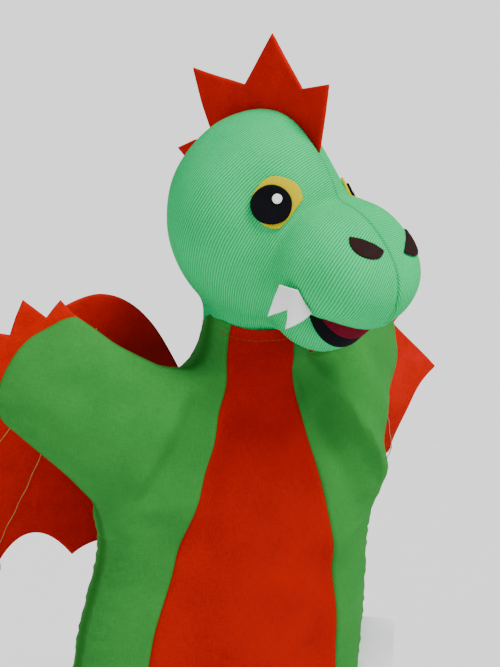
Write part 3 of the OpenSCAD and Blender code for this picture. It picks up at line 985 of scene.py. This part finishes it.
def unwrap(points, faces):
    """Angle-based flat pattern of an open surface, in the same units."""
    mesh = bpy.data.meshes.new("work")
    mesh.from_pydata([tuple(p * MM) for p in points], [], [tuple(int(i) for i in f) for f in faces])
    ob = bpy.data.objects.new("work", mesh)
    bpy.context.scene.collection.objects.link(ob)
    mesh.uv_layers.new(name="UVMap")
    bpy.ops.object.select_all(action="DESELECT")
    bpy.context.view_layer.objects.active = ob
    ob.select_set(True)
    bpy.ops.object.mode_set(mode="EDIT")
    bpy.ops.mesh.select_all(action="SELECT")
    bpy.ops.uv.unwrap(method="ANGLE_BASED", margin=0.0)
    bpy.ops.object.mode_set(mode="OBJECT")
    uv = np.empty(len(mesh.loops) * 2)
    mesh.uv_layers[0].data.foreach_get("uv", uv)
    idx = np.empty(len(mesh.loops), int)
    mesh.loops.foreach_get("vertex_index", idx)
    flat = np.zeros((len(points), 2))
    flat[idx] = uv.reshape(-1, 2)
    bpy.data.objects.remove(ob)
    bpy.data.meshes.remove(mesh)
    return flat


def surface_area(points, faces):
    f = np.array([t[:3] for t in faces] + [(t[0], t[2], t[3]) for t in faces if len(t) == 4])
    return np.linalg.norm(np.cross(points[f[:, 1]] - points[f[:, 0]], points[f[:, 2]] - points[f[:, 0]]), axis=-1).sum() / 2


def aim_uv(points, faces, flat, at, direction):
    """Scales a flat pattern to the surface and turns it so that +V runs along a direction at a place."""
    area = surface_area(np.hstack([flat, np.zeros((len(flat), 1))]), faces)
    flat = flat * math.sqrt(surface_area(points, faces) / area)
    near = np.argsort(np.linalg.norm(points - np.array(at), axis=1))[:60]
    d_p = points[near] - points[near].mean(0)
    d_uv = flat[near] - flat[near].mean(0)
    fit, *_ = np.linalg.lstsq(d_p, d_uv, rcond=None)
    v = unit(np.array(direction, float)) @ fit
    a = math.pi / 2 - math.atan2(v[1], v[0])
    rot = np.array([[math.cos(a), math.sin(a)], [-math.sin(a), math.cos(a)]])
    return flat @ rot


KNIT = 0.9


def stuff_lumps(p):
    """Slight unevenness of hand stuffing."""
    rng = np.random.default_rng(31)
    out = np.zeros(len(p))
    for _ in range(10):
        d = unit(rng.normal(size=3))
        out += np.sin(p @ d * (2 * math.pi / rng.uniform(26, 48)) + rng.uniform(0, 6.3))
    return out * 0.16


def build_skins():
    points, quads = head_mesh(1.7)
    points[:, 0][np.abs(points[:, 0]) < 0.25] = 0.0
    keep = points[quads][:, :, 2].min(1) > -1.6
    quads = quads[keep]
    areas = {}
    for side in (-1, 1):
        x = points[quads][:, :, 0] * side
        half = quads[x.min(1) > -1e-6]
        used, inverse = np.unique(half, return_inverse=True)
        p = points[used]
        f = inverse.reshape(half.shape)
        p, f = subdivide(p, f)
        n = vertex_normals(p, [t[:3] for t in f])
        edge = np.abs(p[:, 0])
        n[edge < 0.05, 0] = 0
        n = unit(n)
        flat = unwrap(p, f)
        flat = aim_uv(p, f, flat, (side * 38, -18, 40), (0, -0.46, 1.0))
        top = smooth(p[:, 2], 88, 100)
        depth = 0.75 * np.exp(-((edge / 0.95) ** 2)) - 0.2 * np.exp(-(((edge - 2.6) / 1.4) ** 2))
        chin = smooth(-p[:, 1], 60, 84) * (1 - smooth(p[:, 2], 24, 46))
        depth = depth * (1 + 1.2 * chin) * (1 - 0.3 * top)
        p = p + n * (stuff_lumps(p) * smooth(edge, 0, 6) - depth)[:, None]
        p[edge < 0.05, 0] = 0.0
        shade_n = vertex_normals(p, [t[:3] for t in f])
        world_p, world_n = on_head(p), shade_n @ TURN.T
        inner = on_head(p - n * KNIT)
        name = f"knit_skin_{SIDE_NAME[side]}"
        ob = closed_sheet(name, world_p, f, inner, flat, {"seam": edge}, world_n)
        finish_piece(ob, "head", "mint_knit", f"head_skin_{SIDE_NAME[side]}")
        areas[side] = surface_area(p, f) * MM * MM
    return areas


build_skins()

points, quads = head_mesh(3.4, -1.9)
points += head_gradient(points) * (stuff_lumps(points) - 0.3)[:, None]
fill_ob = new_object("stuffing_fill", on_head(points), [tuple(q) for q in quads])
finish_piece(fill_ob, "head", "stuffing", "head_stuffing")


# ---------------------------------------------------------------- felt pieces


def loop_points(points, step, curved=False):
    """Closed outline through points: straight runs, or a smooth curve."""
    pts = list(points) + [points[0]]
    if curved:
        n = len(points)
        wrapped = [points[(i - 2) % n] for i in range(n + 5)]
        line = spline(wrapped, step / 2)
        start = np.argmin(np.linalg.norm(line[: len(line) // 2] - np.array(points[0]), axis=1))
        rest = line[start + 5 :]
        end = start + 5 + np.argmin(np.linalg.norm(rest - np.array(points[0]), axis=1))
        return resample(line[start : end + 1], step)[:-1]
    return np.vstack([resample([a, b], step)[:-1] for a, b in zip(pts[:-1], pts[1:])])


def felt_piece(name, loop, place, thick, step, uv_scale=1.0):
    """A felt cut-out: place maps flat points and a height to 3-D; the rim is rounded."""
    v, f = fill(loop, step, (thick * 0.10, thick * 0.35, thick * 0.8))
    d = distance(v, loop, True)
    r = thick / 2
    profile = np.sqrt(np.clip(1 - (1 - np.clip(d / r, 0, 1)) ** 2, 0, 1))
    rng = np.random.default_rng(len(v))
    fuzz = 0.03 * thick * rng.normal(size=len(v)) * (d > 0.01)
    top = place(v, r + r * (profile * 0.82 + 0.18) + fuzz)
    low = place(v, r - r * (profile * 0.82 + 0.18))
    a, b, c = (top[f[0][i]] for i in range(3))
    if np.dot(np.cross(b - a, c - a), top[f[0][0]] - low[f[0][0]]) < 0:
        f = [tuple(reversed(t)) for t in f]
    return closed_sheet(name, top, f, low, v * uv_scale)


def disc(radius, n=64, wobble=0.012, seed=1):
    rng = np.random.default_rng(seed)
    a = np.linspace(0, 2 * math.pi, n, endpoint=False)
    r = radius * (1 + wobble * sum(rng.normal() * np.sin(a * k + rng.uniform(0, 6.3)) for k in (2, 3, 5)))
    return np.stack([r * np.cos(a), r * np.sin(a)], 1)


def patch(centre, az, el, turn=0.0):
    """Frame of a flat patch facing (az, el) on a ball about centre: origin, across, up and out."""
    a, e = math.radians(az), math.radians(el)
    out = np.array([math.sin(a) * math.cos(e), -math.cos(a) * math.cos(e), math.sin(e)])
    across = unit(np.cross([0, 0, 1], out)) * 1.0
    up = np.cross(out, across)
    t = math.radians(turn)
    across, up = across * math.cos(t) + up * math.sin(t), up * math.cos(t) - across * math.sin(t)
    return np.array(centre, float), across, up, out


def wrap(v, origin, across, up, out, radius):
    """Rolls flat points onto a ball about origin, the flat origin landing in the direction out."""
    r = np.linalg.norm(v, axis=1)
    a = r / radius
    k = np.where(r > 1e-6, np.sin(a) / np.maximum(r, 1e-6), 1 / radius)
    flat = (v[:, 0] * k)[:, None] * across + (v[:, 1] * k)[:, None] * up
    return origin + radius * (flat + np.cos(a)[:, None] * out)


def felt_on_head(name, loop, frame_of, reach, lift, thick, side, step=1.0):
    """Felt laid on the stuffed head: the flat shape is wrapped about a ball, then settled on the skin."""
    origin, across, up, out = frame_of

    def place(v, h):
        q = wrap(v, origin, across, up, out, reach) * [-side, 1, 1]
        q = lay_on_head(q, lift)
        return on_head(q + head_gradient(q) * np.asarray(h)[:, None])

    return felt_piece(name, loop, place, thick, step)


def half_moon(width, height):
    a = np.linspace(math.pi, 2 * math.pi, 28)
    low = np.stack([width / 2 * np.cos(a), height * np.sin(a)], 1)
    top = resample([low[-1], (width * 0.2, height * 0.10), (-width * 0.2, height * 0.10), low[0]], 1.0)
    return np.vstack([low, top[1:-1]])


for side in (-1, 1):
    tag = SIDE_NAME[side]
    brow = (0, -12.4, 64.5)
    ring = disc(12.3, seed=2)
    cut = ring @ np.array([0.76, -0.65])
    ring -= np.clip(cut - 8.6, 0, None)[:, None] * np.array([0.76, -0.65])
    drop = 6.0 if side > 0 else 0.0
    ob = felt_on_head(f"eye_ring_{tag}", ring, patch(brow, -45.5, 9.5 - drop), 42.5, 0.1, 1.1, side)
    finish_piece(ob, "head", "yellow_felt", f"eye_yellow_{tag}")
    ob = felt_on_head(f"eye_disc_{tag}", disc(9.4, seed=3), patch(brow, -49.5, 8.0 - drop), 42.5, 1.15, 1.1, side)
    finish_piece(ob, "head", "black_felt", f"eye_black_{tag}")
    spot = disc(2.3, 28, 0.008, 4)
    ob = felt_on_head(f"eye_spot_{tag}", spot, patch(brow, -45.8, 11.5 - drop), 42.5, 2.2, 0.9, side, 0.5)
    finish_piece(ob, "head", "white_felt", f"eye_glint_{tag}")
    ob = felt_on_head(
        f"nostril_felt_{tag}", half_moon(17.2, 7.8), patch((-8, -54, 42.6), -7 - 4.5 * (side + 1), 25 - 2.5 * (side + 1), -36),
        26, 0.1, 1.1, side, 0.9
    )
    finish_piece(ob, "head", "brown_felt", f"nostril_{tag}")

def lip_cut(el, radius, ball_r, tuck):
    """Outline of a disc on the jaw whose upper edge is cut along the underside of the muzzle."""
    origin, across, up, out = patch(JAW, 0, el)
    xs = np.linspace(-radius, radius, 61)[1:-1]
    lows, highs = [], []
    for x in xs:
        half = math.sqrt(radius**2 - x**2)
        ys = np.linspace(-half, half, 240)
        v = np.stack([np.full_like(ys, x), ys], 1)
        hidden = muzzle_field(wrap(v, origin, across, up, out, ball_r)) < -tuck
        top = ys[hidden][0] if hidden.any() else ys[-1]
        if top - ys[0] > 0.8:
            lows.append((x, ys[0]))
            highs.append((x, top))
    return resample(np.array(lows + highs[::-1] + lows[:1]), 1.0)[:-1]


def on_jaw(name, el, radius, lift, slot_name, node, tuck):
    origin, across, up, out = patch(JAW, 0, el)

    def place(v, h):
        base = wrap(v, origin, across, up, out, JAW_R + lift)
        return on_head(base + unit(base - np.array(JAW)) * np.asarray(h)[:, None])

    ob = felt_piece(name, lip_cut(el, radius, JAW_R + lift, tuck), place, 1.0, 1.1)
    finish_piece(ob, "head", slot_name, node)


on_jaw("mouth_felt", 8, 27.0, 0.15, "black_felt", "mouth_lining", 1.6)
on_jaw("tongue_felt", 18, 24.5, 1.2, "dark_red_felt", "tongue", 1.6)

TEETH = [(-2, 5), (-4.5, -1), (-7.5, -10), (-2.5, -8.2), (1.5, -6.5), (1.6, -10), (0.8, -15), (5, -13.2), (9, -11),
         (12.5, -8), (9.5, -3), (6.5, 3)]
for side in (-1, 1):
    a = math.radians(-55)
    along = np.array([math.cos(a), math.sin(a), 0])
    out = np.array([math.sin(a), -math.cos(a), 0])
    start = np.array([-35.0, -50.3, 31.0])

    def place(v, h, side=side):
        bow_out = 1.2 * np.sin(v[:, 0] * 0.28) + 0.02 * (v[:, 1] + 4) ** 2
        q = start + v[:, :1] * along + v[:, 1:] * np.array([0, 0, 1.0]) + bow_out[:, None] * out
        sunk = head_field(q) < 0.5
        q = np.where(sunk[:, None], lay_on_head(q, 0.5), q) + np.asarray(h)[:, None] * out
        q[:, 0] *= -side
        return on_head(q)

    ob = felt_piece(f"fangs_{SIDE_NAME[side]}", loop_points(TEETH, 0.9), place, 1.2, 0.9)
    finish_piece(ob, "head", "white_felt", f"teeth_{SIDE_NAME[side]}")

CREST = [(-40.5, 90), (-44, 107), (-47, 122), (-38.5, 120), (-30, 118), (-21, 130), (-12.4, 141.5), (-3.5, 129),
         (5.6, 116), (21, 118), (37, 120.5), (31, 105), (23, 88), (8, 90), (-12, 92), (-30, 90)]


def place_crest(v, h):
    rise = smooth(v[:, 1], 100, 142)
    x = (np.asarray(h) - 1.1) + 1.6 * rise * np.sin(v[:, 0] * 0.055 + 0.6) + 0.5 * np.sin(v[:, 0] * 0.16)
    return on_head(np.stack([x, v[:, 0], v[:, 1]], 1))


ob = felt_piece("crest_felt", loop_points(CREST, 1.3), place_crest, 2.2, 1.4)
finish_piece(ob, "head", "orange_felt", "crest")
ob = felt_piece("spike_felt", loop_points([(25, 90), (36, 87), (47, 82), (41.5, 78), (36, 73), (30, 78)], 1.2),
                place_crest, 2.2, 1.3)
finish_piece(ob, "head", "orange_felt", "crest_back_spike")

# ---------------------------------------------------------------- claws

CLAWS = [(84.5, 232.5), (90.5, 237.0), (95.5, 243), (98.5, 240), (102.4, 235.4), (108, 240), (113.7, 244.6),
         (117, 237), (119.6, 228.5), (125, 229.5), (132, 230.5), (131, 224), (129.3, 217.2), (133, 213), (138, 208.5),
         (132, 205.2), (126.5, 202.8), (121.5, 203), (119.0, 209), (113.5, 217.5), (107, 223), (98, 227.5)]


def place_claws(side):
    def place(v, h):
        s = np.abs(v[:, 0]) - ARM_X
        bend = 1.6 * np.sin(v[:, 0] * 0.16 + side) * smooth(distance(v, ARM_END), 2, 14)
        ly = ARM_DEPTH - 1.0 + np.asarray(h) + bend
        a = SWEEP[side]
        ax = s * math.cos(a) - ly * math.sin(a)
        ay = s * math.sin(a) + ly * math.cos(a)
        return np.stack([LEAN[0] + side * (ARM_X + ax), ARM_HINGE_Y + ay, v[:, 1]], 1)

    return place


for side in (-1, 1):
    tag = SIDE_NAME[side]
    ob = felt_piece(f"claw_felt_{tag}", loop_points(CLAWS, 1.4), place_claws(side), 1.8, 1.5)
    finish_piece(ob, f"arm_{tag}", "orange_felt", f"claws_{tag}")

# ---------------------------------------------------------------- wings


def bow(a, c, b, n):
    t = np.linspace(0, 1, n)[:, None]
    a, b, c = (np.array(p, float) for p in (a, b, c))
    return (1 - t) ** 2 * a + 2 * t * (1 - t) * c + t * t * b


WING = np.vstack(
    [
        bow((0, 190), (20, 236), (46, 238), 30)[:-1],
        bow((46, 238), (66, 238), (100, 204), 30)[:-1],
        resample([(100, 204), (135, 176)], 1.8)[:-1],
        bow((135, 176), (108, 166), (118, 134), 26)[:-1],
        bow((118, 134), (97, 132), (84, 108), 26)[:-1],
        bow((84, 108), (70, 138), (47, 112), 26)[:-1],
        bow((47, 112), (30, 128), (0, 108), 26)[:-1],
        resample([(0, 108), (0, 190)], 1.8)[:-1],
    ]
)
WING = resample(np.vstack([WING, WING[:1]]), 1.8)[:-1]


def wing_place(side):
    root_z = np.arange(100.0, 200.0, 4.0)
    root_y = glove_point(np.stack([np.full_like(root_z, side * 15.0), root_z], 1), 1)[:, 1] + 16 * root_z / NECK_Z

    def place(v, h):
        reach, z = v[:, 0], v[:, 1]
        base = np.interp(z, root_z, root_y) + 0.4 - 33.5
        y = base * (1 - smooth(reach, 0, 34)) * (1 - smooth(z, 188, 214))
        y = y + 1.8 * np.sin(reach * 0.052 + z * 0.03 + 1.0) * smooth(reach, 14, 50)
        y = y + 1.0 * np.sin(z * 0.09 - reach * 0.04) * smooth(reach, 14, 50)
        if side > 0:
            y = y + 15.0 * smooth(170 - z, 6, 52) * smooth(reach, 40, 112)
        else:
            y = y - 2.5 * smooth(reach, 80, 135) + 2.0 * smooth(150 - z, 0, 40)
        y = y - 1.0 + np.asarray(h)
        a = WING_SWEEP[side]
        x = reach * math.cos(a) - y * math.sin(a)
        w = reach * math.sin(a) + y * math.cos(a)
        f = z / NECK_Z
        return np.stack([side * (15 + x) + LEAN[0] * f, 33.5 + w + LEAN[1] * f, z], 1)

    return place


def tube(name, lines, radius, sides=6):
    """Thread swept along one or more lines of 3-D points, in millimetres."""
    verts, faces = [], []
    for line in lines:
        line = np.asarray(line, float)
        tangent = unit(np.gradient(line, axis=0))
        ref = np.array([0.31, 0.22, 0.92])
        a = unit(np.cross(tangent, ref))
        b = np.cross(tangent, a)
        base = len(verts)
        for i in range(len(line)):
            for k in range(sides):
                t = 2 * math.pi * k / sides
                verts.append(line[i] + radius * (a[i] * math.cos(t) + b[i] * math.sin(t)))
        for i in range(len(line) - 1):
            for k in range(sides):
                p, q = base + i * sides + k, base + i * sides + (k + 1) % sides
                faces.append((p, q, q + sides, p + sides))
        faces.append(tuple(base + k for k in reversed(range(sides))))
        faces.append(tuple(base + (len(line) - 1) * sides + k for k in range(sides)))
    return new_object(name, np.array(verts), faces)


def stitches(line, length, gap, sink):
    """Cuts a line into separate stitches that rise and dip like a sewn thread."""
    run = np.concatenate([[0], np.cumsum(np.linalg.norm(np.diff(line, axis=0), axis=1))])
    out = []
    at = gap / 2
    while at + length < run[-1]:
        t = np.linspace(0, 1, 6)
        pts = np.stack([np.interp(at + length * t, run, line[:, k]) for k in range(3)], 1)
        out.append(pts - sink(pts) * (np.abs(2 * t - 1) ** 3)[:, None])
        at += length + gap
    return out


for side in (-1, 1):
    tag = SIDE_NAME[side]
    place = wing_place(side)
    ob = felt_piece(f"wing_felt_{tag}", WING, place, 2.0, 2.6)
    finish_piece(ob, f"wing_{tag}_body", "red_felt", f"wing_{tag}")
    threads = []
    for k, (end, tail) in enumerate((((117.0, 137.5), (113.5, 128.5)), ((85.2, 115), (83.2, 107.5)))):
        line = resample([(46.5, 222), end], 2.0)
        line = line + np.stack([0.25 * np.sin(line[:, 1] * 0.5), np.zeros(len(line))], 1)
        for face_h, lift in ((0.0, -0.12), (2.0, 0.12)):
            threads.append(place(line, np.full(len(line), face_h + lift)))
        for turn in (-1.6, 1.4):
            t = np.linspace(0, 1, 9)
            loose = np.array(end) + (np.array(tail) - np.array(end)) * t[:, None]
            loose[:, 0] += turn * np.sin(t * 2.4) * 1.2
            threads.append(place(loose, -0.3 - 1.2 * t * (1 - t) - 0.5 * t))
    ob = tube(f"wing_thread_{tag}", threads, 0.22)
    finish_piece(ob, f"wing_{tag}_body", "thread", f"wing_stitching_{tag}")

# ---------------------------------------------------------------- seams, hem and label


def on_glove(flat_line, face, lift):
    p = np.asarray(flat_line, float)
    here = glove_point(p, face)
    du = glove_point(p + np.array([0.4, 0]), face) - here
    dv = glove_point(p + np.array([0, 0.4]), face) - here
    n = unit(np.cross(du, dv))
    n = n * np.where(n[:, 1] * face < 0, -1, 1)[:, None]
    return here + n * lift, n


top_line = np.stack([np.linspace(-22.0, 22.0, 50), np.full(50, TOP_Z - 5.6)], 1)
front, front_n = on_glove(top_line, -1, 0.2)
back, back_n = on_glove(top_line, 1, 0.2)
neck_threads = []
NECK_FOOT = np.array([NECK[0], NECK[1], 0])
for line, normal in ((front, front_n), (back, back_n)):
    mean = normal.mean(0)
    neck_threads += stitches(line, 2.1, 0.7, lambda pts: unit(pts - NECK_FOOT) * [0.4, 0.4, 0])
ob = tube("neck_thread", neck_threads, 0.16, 5)
finish_piece(ob, "collar", "orange_thread", "neck_stitching")

label_loop = loop_points([(0, 0), (18.5, 0), (18.5, 32), (0, 32)], 1.6)


def place_label(v, h):
    start = glove_point(np.array([(69.8, 44.0)]), 1)[0]
    t = v[:, 0] / 18.5
    across = v[:, 0] * 1.12
    back_curl = -11.0 * t + 2.6 * t**2 + 0.8 * np.sin(v[:, 1] * 0.17) * t - 2.5
    z = start[2] + v[:, 1] - 2.2 * t + 0.8 * t * np.sin(v[:, 1] * 0.1)
    return np.stack([start[0] + 0.4 + across, start[1] + back_curl + np.asarray(h), z], 1)


ob = felt_piece("label_tape", label_loop, place_label, 0.5, 1.7)
finish_piece(ob, "glove", "white_tape", "care_label")


def hem_sheet():
    """The cloth turned up inside the hem, as one closed strip."""
    n, rows = 150, 9
    a = np.linspace(0, 2 * math.pi, n, endpoint=False)
    verts, uv, faces = [], [], []
    rng = np.random.default_rng(12)
    wob = sum(rng.normal() * np.sin(a * k + rng.uniform(0, 6.3)) for k in range(3, 9)) * 0.12
    for i in range(rows + 1):
        z = -0.35 + 12.2 * i / rows
        gap = 1.0 if i else 0.62
        rx, ry = HEM_W - gap - 0.5, 31.6 - gap - 0.9
        for k in range(n):
            r = 1 - (0.25 + 0.35 * wob[k]) / rx * (i / rows)
            x, y = rx * r * math.sin(a[k]), -ry * r * math.cos(a[k])
            verts.append((x + LEAN[0] * z / NECK_Z, y + LEAN[1] * z / NECK_Z, z))
            uv.append((k * 2.1, z))
    verts = np.array(verts)
    for i in range(rows):
        for k in range(n):
            p, q = i * n + k, i * n + (k + 1) % n
            faces.append((q, p, p + n, q + n))
    centre = verts.copy()
    centre[:, :2] *= 0.988
    ob = closed_sheet("hem_turn_up", centre, faces, verts, np.array(uv), {"seam": np.full(len(verts), 9.0)})
    finish_piece(ob, "glove", "green_cotton", "hem_band")


hem_sheet()

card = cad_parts["finger_tube"]
for place in card.material_slots:
    place.material = MAT["card_tube"]
